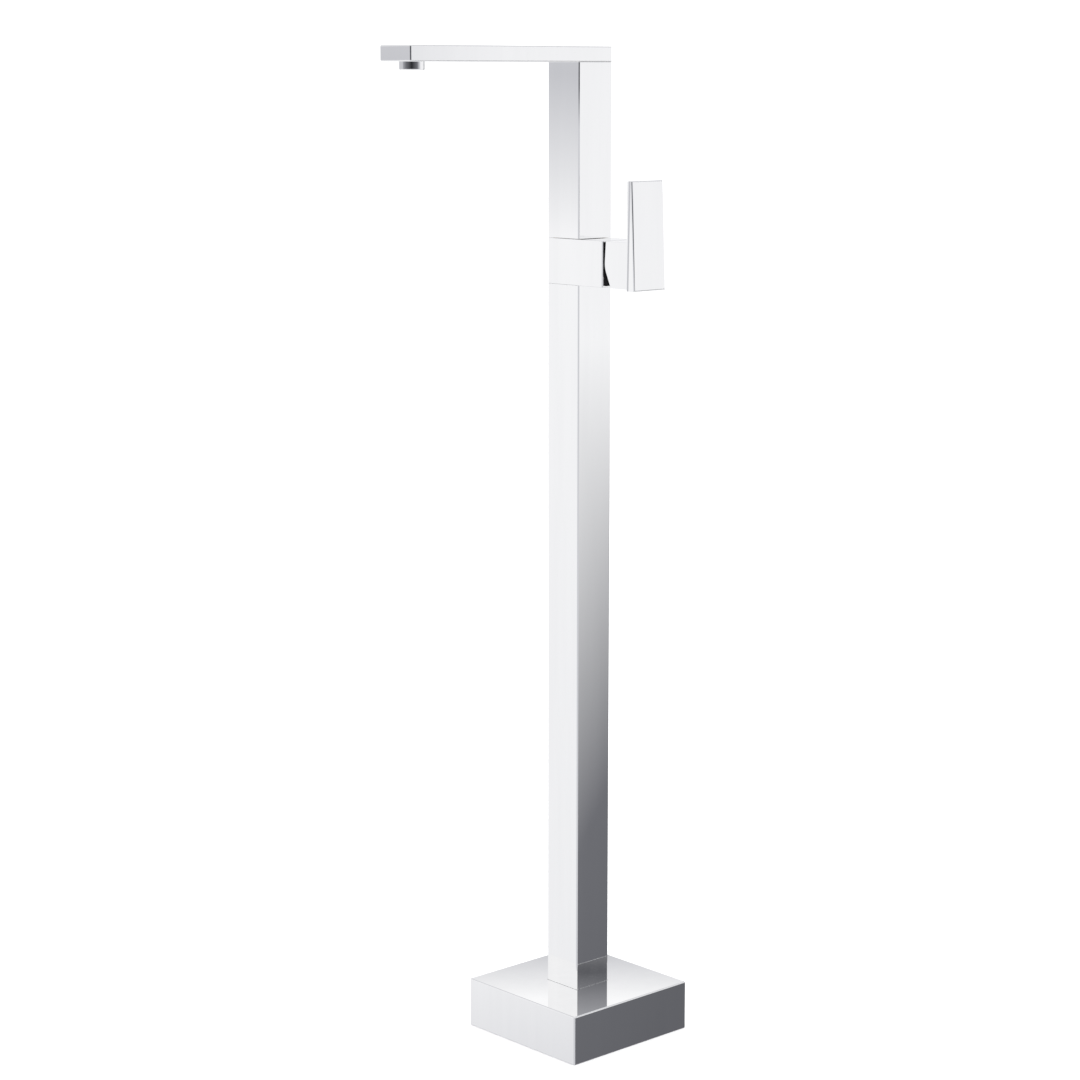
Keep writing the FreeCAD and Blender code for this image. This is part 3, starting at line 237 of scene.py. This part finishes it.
def add_light(name, place, target, side, watts):
    """A square soft light that is neither seen nor mirrored."""
    data = bpy.data.lights.new(name, "AREA")
    data.shape = "SQUARE"
    data.size = side
    data.energy = watts
    light = bpy.data.objects.new(name, data)
    light.location = place
    light.rotation_euler = (Vector(target) - Vector(place)).to_track_quat("-Z", "Y").to_euler()
    light.visible_glossy = False
    light.visible_camera = False
    SCENE.collection.objects.link(light)


FLOOR_SIZE = 14
FLOOR_CELLS = 12
FLOOR_DROP = 0.5 * MM
FLOOR_COLOURS = (0.93, 0.93, 0.935, 1), (0.955, 0.955, 0.955, 1)
FLOOR_MOTTLE = 3.0


def add_floor():
    """Large pale floor with a faint mottle, just under the object."""
    mesh = bpy.data.meshes.new("floor")
    shape = bmesh.new()
    bmesh.ops.create_grid(shape, x_segments=FLOOR_CELLS, y_segments=FLOOR_CELLS, size=FLOOR_SIZE,
                          matrix=Matrix.Translation((0, 0, -FLOOR_DROP)))
    shape.to_mesh(mesh)
    shape.free()
    floor = bpy.data.objects.new("floor", mesh)
    SCENE.collection.objects.link(floor)
    material = bpy.data.materials.new("pale_floor")
    material.use_nodes = True
    t = Tree(material.node_tree)
    mottle = t.noise(t.add("TexCoord").outputs["Object"], FLOOR_MOTTLE)
    surface = t.add("BsdfPrincipled", {"Base Color": t.mix(mottle, *FLOOR_COLOURS),
                                       "Roughness": 0.8, "Specular IOR Level": 0.1})
    t.add("OutputMaterial", {"Surface": surface.outputs[0]})
    mesh.materials.append(material)
    floor.visible_glossy = False


# ---------------------------------------------------------------- materials

# each finish has two colours that mottle mixes, a third and lighter one for edges, partly wear and
# partly a painted highlight, the lowest and highest roughness, the scales of mottle and grain along
# x, y and z, the grain's detail, and the strength of the grain's relief and its height in metres
FINISHES = {
    "chrome": dict(
        name="chrome_plate", metallic=1, roughness=(0.012, 0.03),
        colours=((0.884, 0.884, 0.887), (0.899, 0.899, 0.901), (0.93, 0.93, 0.932)),
        mottle=(70, 70, 5), grain=(260, 260, 260), detail=2, relief=(0.02, 0.00002)),
    "brass": dict(
        name="machined_brass", metallic=1, roughness=(0.18, 0.34),
        colours=((0.70, 0.53, 0.25), (0.78, 0.62, 0.33), (0.86, 0.73, 0.46)),
        mottle=(60, 60, 60), grain=(300, 300, 2600), detail=3, relief=(0.12, 0.00004)),
    "copper": dict(
        name="drawn_copper", metallic=1, roughness=(0.2, 0.38),
        colours=((0.72, 0.38, 0.24), (0.58, 0.30, 0.20), (0.86, 0.55, 0.40)),
        mottle=(35, 35, 35), grain=(1800, 1800, 25), detail=3, relief=(0.1, 0.00003)),
    "steel": dict(
        name="stainless_steel", metallic=1, roughness=(0.16, 0.3),
        colours=((0.60, 0.60, 0.61), (0.66, 0.66, 0.67), (0.78, 0.78, 0.79)),
        mottle=(90, 90, 90), grain=(900, 900, 900), detail=3, relief=(0.1, 0.00003)),
    "zinc_steel": dict(
        name="zinc_plated_steel", metallic=1, roughness=(0.28, 0.46),
        colours=((0.60, 0.62, 0.64), (0.74, 0.75, 0.75), (0.82, 0.83, 0.84)),
        mottle=(120, 120, 120), grain=(60, 1400, 500), detail=4, relief=(0.16, 0.00005)),
    "rubber": dict(
        name="black_rubber", metallic=0, roughness=(0.6, 0.82), specular=0.35,
        colours=((0.024, 0.024, 0.025), (0.04, 0.04, 0.041), (0.08, 0.08, 0.08)),
        mottle=(70, 70, 70), grain=(1500, 1500, 1500), detail=4, relief=(0.3, 0.00006)),
    "black_plastic": dict(
        name="black_plastic", metallic=0, roughness=(0.45, 0.6), specular=0.15,
        colours=((0.006, 0.006, 0.007), (0.012, 0.012, 0.013), (0.03, 0.03, 0.032)),
        mottle=(80, 80, 80), grain=(2200, 2200, 2200), detail=3, relief=(0.2, 0.00003)),
    "white_plastic": dict(
        name="white_plastic", metallic=0, roughness=(0.3, 0.44),
        colours=((0.80, 0.80, 0.775), (0.84, 0.84, 0.82), (0.9, 0.9, 0.88)),
        mottle=(60, 60, 60), grain=(1600, 1600, 1600), detail=3, relief=(0.15, 0.00003)),
    "grey_ceramic": dict(
        name="ground_alumina", metallic=0, roughness=(0.22, 0.36), coat=0.15,
        colours=((0.82, 0.82, 0.80), (0.88, 0.88, 0.86), (0.94, 0.94, 0.93)),
        mottle=(90, 90, 90), grain=(1300, 200, 1300), detail=3, relief=(0.08, 0.00002)),
}

# noise values over which the two colours, and the lowest and highest roughness, change over
MOTTLE_DETAIL = 4.0
MOTTLE_RANGE = (0.35, 0.65)
GRAIN_ROUGHNESS = 0.6
GLOSS_FROM_MOTTLE, GLOSS_FROM_GRAIN = 0.6, 0.4
GLOSS_RANGE = (0.3, 0.7)
# edges are softened by this radius, and the lighter edge colour, partly wear and partly a painted
# highlight, shows where that turns the normal: by the cosine of the turn, broken up by noise, and
# with so much more roughness
EDGE_RADIUS = 0.35 * MM
EDGE_SAMPLES = 4
EDGE_RANGE = (0.985, 0.90)
WEAR_AND_HIGHLIGHT_SCALE, WEAR_AND_HIGHLIGHT_DETAIL = 220.0, 2.0
WEAR_AND_HIGHLIGHT_RANGE = (0.4, 0.6, 0.2, 0.8)
WEAR_AND_HIGHLIGHT_ROUGHNESS = 0.05


def make_finish(name, colours, metallic, roughness, mottle, grain, detail, relief,
                specular=0.5, coat=0.0):
    """A material with mottled colour, uneven gloss, grain in relief, and edges lightened partly by
    wear and partly by a painted highlight.
    """
    material = bpy.data.materials.new(name)
    material.use_nodes = True
    t = Tree(material.node_tree)
    first, second, wear_and_highlight_colour = [(*colour, 1) for colour in colours]
    where = t.add("TexCoord").outputs["Object"]
    patches = t.noise(t.stretched(where, mottle), 1.0, MOTTLE_DETAIL)
    fine = t.noise(t.stretched(where, grain), 1.0, detail, GRAIN_ROUGHNESS)
    body = t.mix(t.remap(patches, *MOTTLE_RANGE), first, second)
    uneven = t.maths("ADD", t.maths("MULTIPLY", patches, GLOSS_FROM_MOTTLE),
                     t.maths("MULTIPLY", fine, GLOSS_FROM_GRAIN))
    gloss = t.remap(uneven, *GLOSS_RANGE, *roughness)
    rounded = t.add("Bevel", {"Radius": EDGE_RADIUS}, samples=EDGE_SAMPLES).outputs["Normal"]
    edge = t.fade(t.dot(rounded, t.add("NewGeometry").outputs["Normal"]), *EDGE_RANGE)
    broken = t.remap(t.noise(where, WEAR_AND_HIGHLIGHT_SCALE, WEAR_AND_HIGHLIGHT_DETAIL), *WEAR_AND_HIGHLIGHT_RANGE)
    wear_and_highlight = t.maths("MULTIPLY", edge, broken, clamp=True)
    # lighter colour at the edges: partly wear, partly a painted highlight
    body = t.mix(wear_and_highlight, body, wear_and_highlight_colour)
    gloss = t.maths("ADD", gloss, t.maths("MULTIPLY", wear_and_highlight, WEAR_AND_HIGHLIGHT_ROUGHNESS))
    strength, height = relief
    bump = t.add("Bump", {"Height": fine, "Strength": strength, "Distance": height,
                          "Normal": rounded})
    surface = t.add("BsdfPrincipled", {"Base Color": body, "Metallic": metallic, "Roughness": gloss,
                                       "Specular IOR Level": specular, "Coat Weight": coat,
                                       "Normal": bump.outputs["Normal"]})
    t.add("OutputMaterial", {"Surface": surface.outputs[0]})
    return material


def dress_nodes(finishes):
    """Every carried-over node takes the finish of its own slot."""
    slots = {part["node"]: part["material_slot"] for part in frame["record"]["subparts"]}
    for name, node in NODES.items():
        node.data.materials.clear()
        node.data.materials.append(finishes[slots[name]])


# ------------------------------------------------------------- shape helpers

STEPS = 72
SMOOTH_BELOW = math.radians(35)
MERGE_BELOW = 0.001 * MM
RIM_BEVEL = 0.5 * MM


class Shape:
    """Vertices and faces of one piece, in metres, gathered ring by ring."""

    def __init__(self):
        self.points = []
        self.faces = []

    def skin(self, rings, closed=False):
        """Join rings of equal length by quads, with flat ends or as a closed tube."""
        first = len(self.points)
        count = len(rings[0])
        for ring in rings:
            self.points.extend(ring)
        for row in range(len(rings) if closed else len(rings) - 1):
            here = first + row * count
            there = first + (row + 1) % len(rings) * count
            for step in range(count):
                after = (step + 1) % count
                self.faces.append((here + step, here + after, there + after, there + step))
        if not closed:
            last = first + (len(rings) - 1) * count
            self.faces.append(tuple(range(first + count - 1, first - 1, -1)))
            self.faces.append(tuple(range(last, last + count)))


def around(radius, level):
    """A ring about Z whose radius is a number or a function of the angle."""
    ring = []
    for step in range(STEPS):
        angle = math.tau * step / STEPS
        reach = radius(angle) if callable(radius) else radius
        ring.append(Vector((reach * math.cos(angle), reach * math.sin(angle), level)))
    return ring


def hexagon(flat):
    """Radius of a hexagon by angle, whose flats lie at the distance flat."""
    sector = math.pi / 3
    return lambda angle: flat / math.cos(angle % sector - sector / 2)


def moved(rings, matrix):
    return [[matrix @ point for point in ring] for ring in rings]


def on_foot(low, high):
    """Puts a shape about Z on the middle of a box's underside."""
    return Matrix.Translation(((low.x + high.x) / 2, (low.y + high.y) / 2, low.z))


def add_piece(name, shape, body, slot, finishes, replaced):
    """Adds a piece that rides on a body and stands for a CAD node."""
    mesh = bpy.data.meshes.new(name)
    mesh.from_pydata([tuple(point) for point in shape.points], [], shape.faces)
    mesh.update()
    tidy = bmesh.new()
    tidy.from_mesh(mesh)
    bmesh.ops.remove_doubles(tidy, verts=tidy.verts, dist=MERGE_BELOW)
    bmesh.ops.recalc_face_normals(tidy, faces=tidy.faces)
    tidy.to_mesh(mesh)
    tidy.free()
    mesh.shade_smooth()
    mesh.set_sharp_from_angle(angle=SMOOTH_BELOW)
    mesh.materials.append(finishes[slot])
    piece = bpy.data.objects.new(name, mesh)
    SCENE.collection.objects.link(piece)
    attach(piece, body)
    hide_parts(replaced)


# -------------------------------------------------------------------- pieces

# a set screw in shares of its radius: its chamfers, the hexagonal socket's flats at its bottom and
# mouth, its depth, and in shares of the chamfer how deep the mouth narrows
SCREW_CHAMFER = 0.14
SOCKET_FLAT, SOCKET_MOUTH, SOCKET_DEPTH = 0.5, 0.56, 0.9
SOCKET_LEAD = 0.4


def socket_screw(shape, head, inward, radius, length, tip_radius=None, tip_length=0.0):
    """A set screw with a hexagonal socket in its head and chamfered ends, or with a thinner tip."""
    chamfer = SCREW_CHAMFER * radius
    key = hexagon(SOCKET_FLAT * radius)
    end = length - tip_length
    rings = [around(key, -SOCKET_DEPTH * radius), around(key, -SOCKET_LEAD * chamfer),
             around(hexagon(SOCKET_MOUTH * radius), 0), around(radius - chamfer, 0),
             around(radius, -chamfer), around(radius, -end + chamfer),
             around(radius - chamfer, -end)]
    if tip_radius:
        rings += [around(tip_radius, -end), around(tip_radius, -length + chamfer),
                  around(tip_radius - chamfer, -length)]
    turn = Vector((0, 0, -1)).rotation_difference(Vector(inward)).to_matrix().to_4x4()
    shape.skin(moved(rings, Matrix.Translation(head) @ turn))


def rear_screws(finishes):
    """Two set screws through the column's rear wall."""
    low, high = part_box("body_lock_screws")
    radius = (high.z - low.z) / 2
    shape = Shape()
    for across in (low.x + radius, high.x - radius):
        socket_screw(shape, (across, high.y, low.z + radius), (0, -1, 0), radius, high.y - low.y)
    add_piece("rear_set_screws", shape, "stand", "steel", finishes, "body_lock_screws")


SWIVEL_TIP_RADIUS, SWIVEL_TIP_LENGTH = 2 * MM, 1.5 * MM


def swivel_screw(finishes):
    """Set screw in the riser's rear wall, whose tip runs in the nipple's stop groove."""
    low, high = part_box("swivel_stop_screw")
    radius = (high.z - low.z) / 2
    shape = Shape()
    socket_screw(shape, (0, high.y, low.z + radius), (0, -1, 0), radius, high.y - low.y,
                 tip_radius=SWIVEL_TIP_RADIUS, tip_length=SWIVEL_TIP_LENGTH)
    add_piece("swivel_set_screw", shape, "spout", "steel", finishes, "swivel_stop_screw")


COLUMN_HALF_WIDTH = 22 * MM


def clamp_screws(finishes):
    """Four set screws that press on the column from two sides."""
    low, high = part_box("column_clamp_screws")
    radius = (high.z - low.z) / 2
    length = high.x - COLUMN_HALF_WIDTH
    shape = Shape()
    for side in (-1, 1):
        for across in (low.y + radius, high.y - radius):
            head = (side * high.x, across, low.z + radius)
            socket_screw(shape, head, (-side, 0, 0), radius, length)
    add_piece("clamp_set_screws", shape, "stand", "steel", finishes, "column_clamp_screws")


THREAD_PITCH = 1.814 * MM
THREAD_DEPTH = 1.1 * MM
THREAD_LENGTH = 12 * MM
THREAD_ROW = 0.16 * MM
# how far the collar stands over the thread, and how long the undercut under it is
COLLAR_STEP = 1.02 * MM
UNDERCUT = 1.3 * MM
# how steep the flanks are, and how flat that makes crest and root
THREAD_SLOPE, THREAD_FLAT = 1.25, 0.1
TAIL_BORE, PIPE_BORE, PIPE_DEPTH = 6.5 * MM, 5.05 * MM, 7 * MM


def thread_ring(level, major):
    """A ring through a helical thread that starts with a chamfer and ends in an undercut."""
    root = major - THREAD_DEPTH

    def radius(angle):
        phase = (level / THREAD_PITCH - angle / math.tau) % 1
        cut = min(max(abs(2 * phase - 1) * THREAD_SLOPE - THREAD_FLAT, 0), 1)
        return min(major - THREAD_DEPTH * cut, root + level)

    return around(root if level > THREAD_LENGTH - UNDERCUT else radius, level)


def threaded_tail(name, node, finishes):
    """Inlet tail with a pipe thread, a chamfered collar and a stepped bore."""
    low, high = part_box(node)
    collar = (high.x - low.x) / 2
    rim = collar - RIM_BEVEL
    length = high.z - low.z
    rows = round(THREAD_LENGTH / THREAD_ROW)
    rings = [around(TAIL_BORE, 0)]
    for row in range(rows + 1):
        rings.append(thread_ring(THREAD_LENGTH * row / rows, collar - COLLAR_STEP))
    rings += [around(rim, THREAD_LENGTH), around(collar, THREAD_LENGTH + RIM_BEVEL),
              around(collar, length - RIM_BEVEL), around(rim, length), around(PIPE_BORE, length),
              around(PIPE_BORE, length - PIPE_DEPTH), around(TAIL_BORE, length - PIPE_DEPTH)]
    shape = Shape()
    shape.skin(moved(rings, on_foot(low, high)), closed=True)
    add_piece(name, shape, "stand", "brass", finishes, node)


# the skirt is painted shade: a dark sheet where the gap behind the lever's hub lies in shade
SKIRT_THICKNESS = 0.25 * MM
# how far the skirt's outline stays inside what is around it, how far its hole's rim lies inside the
# cover's, and how deep the cover sits behind the valve's front face
SKIRT_INSET = 1.3 * MM
SKIRT_LAP = 0.5 * MM
COVER_SEAT = 0.5 * MM
NEARLY_ZERO = 1e-6


def cover_with_shade_skirt(finishes):
    """Dark cartridge cover with a thin square skirt that lies on the valve's front face: a dark
    sheet of painted shade in the shaded gap behind the lever's hub.
    """
    cover = NODES["cartridge_cover"].data
    shape = Shape()
    shape.points = [Vector(point.co) for point in cover.vertices]
    shape.faces = [tuple(face.vertices) for face in cover.polygons]
    low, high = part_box("cartridge_cover")
    spout_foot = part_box("spout_riser")[0].z
    column_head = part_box("column_tube")[1].z
    middle = (low.z + high.z) / 2
    half_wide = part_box("lever_handle")[1].x - SKIRT_INSET
    half_high = min(spout_foot - middle, middle - column_head) - SKIRT_INSET
    hole = (high.x - low.x) / 2 - SKIRT_LAP

    def square(angle):
        return min(half_wide / max(abs(math.cos(angle)), NEARLY_ZERO),
                   half_high / max(abs(math.sin(angle)), NEARLY_ZERO))

    front = high.y - COVER_SEAT - SKIRT_THICKNESS
    place = Matrix.Translation((0, front, middle)) @ Matrix.Rotation(math.radians(-90), 4, "X")
    # the square skirt of painted shade, with a hole for the cover
    rings = [around(hole, 0), around(square, 0), around(square, SKIRT_THICKNESS),
             around(hole, SKIRT_THICKNESS)]
    shape.skin(moved(rings, place), closed=True)
    add_piece("cartridge_cover_painted_shade_skirt", shape, "stand", "black_plastic", finishes,
              "cartridge_cover")


INSERT_CLEARANCE = 0.1 * MM
NECK_WALL = 1.5 * MM


def aerator_collar(finishes):
    """Straight collar with chamfered rims, and its neck in the arm."""
    low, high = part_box("aerator_housing")
    insert_low, insert_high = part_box("aerator_insert")
    outer = (high.x - low.x) / 2
    bore = (insert_high.x - insert_low.x) / 2 + INSERT_CLEARANCE
    neck = bore + NECK_WALL
    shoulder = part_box("spout_arm")[0].z - low.z
    length = high.z - low.z
    rings = [around(bore, RIM_BEVEL), around(bore + RIM_BEVEL, 0), around(outer - RIM_BEVEL, 0),
             around(outer, RIM_BEVEL), around(outer, shoulder), around(neck, shoulder),
             around(neck, length - RIM_BEVEL), around(neck - RIM_BEVEL, length),
             around(bore, length)]
    shape = Shape()
    shape.skin(moved(rings, on_foot(low, high)), closed=True)
    add_piece("aerator_collar", shape, "spout", "chrome", finishes, "aerator_housing")


def add_pieces(finishes):
    cover_with_shade_skirt(finishes)
    aerator_collar(finishes)
    rear_screws(finishes)
    swivel_screw(finishes)
    clamp_screws(finishes)
    threaded_tail("hot_tail_threaded", "hot_inlet_tail", finishes)
    threaded_tail("cold_tail_threaded", "cold_inlet_tail", finishes)


# --------------------------------------------------------------------- build

SCENE.view_settings.view_transform = "Standard"
add_camera()
add_surroundings()
add_light("overhead_softbox", place=(-0.6, -0.6, 3.2), target=(0, 0, 0.3), side=3.0, watts=42)
add_light("side_softbox", place=(2.2, 1.6, 1.8), target=(0, 0, 0.5), side=1.6, watts=14)
add_floor()
all_finishes = {slot: make_finish(**look) for slot, look in FINISHES.items()}
dress_nodes(all_finishes)
add_pieces(all_finishes)
